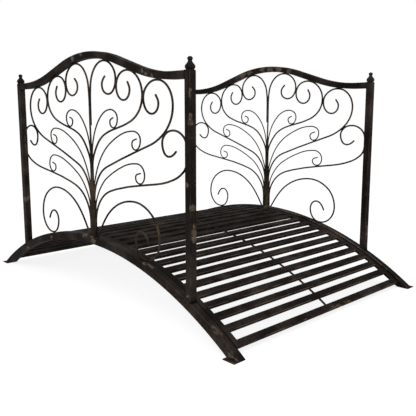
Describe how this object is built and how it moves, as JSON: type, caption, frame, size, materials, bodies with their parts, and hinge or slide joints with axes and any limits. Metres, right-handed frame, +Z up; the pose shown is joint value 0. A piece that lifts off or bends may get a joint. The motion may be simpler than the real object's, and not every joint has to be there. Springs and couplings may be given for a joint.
{
  "type": "arched metal garden footbridge",
  "caption": "Low arched garden footbridge in dark bronze painted steel: slatted deck between curved stringers, side rails with posts, ball finials, curved top rail and mirrored scrollwork.",
  "frame": {"origin": "on the ground under the middle of the bridge", "axes": "+X along the span toward the near end, +Y across from the left rail to the right rail, +Z up"},
  "size_m": [1.5644, 1.068, 0.933],
  "materials": {
    "tube_paint": "satin dark bronze paint with tan rubbed corners",
    "deck_paint": "satin dark bronze paint, rubbed paler on the walked edges",
    "rod_paint": "satin dark bronze paint on bent rod"
  },
  "bodies": {
    "root": {"left_stringer": "tube_paint", "right_stringer": "tube_paint", "left_near_foot": "tube_paint", "left_far_foot": "tube_paint", "right_near_foot": "tube_paint", "right_far_foot": "tube_paint", "left_deck_edge": "deck_paint", "right_deck_edge": "deck_paint", "center_ties": "deck_paint", "near_end_slats": "deck_paint", "near_middle_slats": "deck_paint", "near_crest_slats": "deck_paint", "far_crest_slats": "deck_paint", "far_middle_slats": "deck_paint", "far_end_slats": "deck_paint", "left_near_post": "tube_paint", "left_far_post": "tube_paint", "right_near_post": "tube_paint", "right_far_post": "tube_paint", "left_near_finial": "tube_paint", "left_far_finial": "tube_paint", "right_near_finial": "tube_paint", "right_far_finial": "tube_paint", "left_top_rail": "tube_paint", "right_top_rail": "tube_paint", "left_crown_scrolls": "rod_paint", "right_crown_scrolls": "rod_paint", "left_upper_scrolls": "rod_paint", "right_upper_scrolls": "rod_paint", "left_middle_scrolls": "rod_paint", "right_middle_scrolls": "rod_paint", "left_side_scrolls": "rod_paint", "right_side_scrolls": "rod_paint", "left_base_scrolls": "rod_paint", "right_base_scrolls": "rod_paint", "left_upper_tendrils": "rod_paint", "right_upper_tendrils": "rod_paint", "left_middle_tendrils": "rod_paint", "right_middle_tendrils": "rod_paint", "left_lower_tendrils": "rod_paint", "right_lower_tendrils": "rod_paint"}
  },
  "joints": []
}
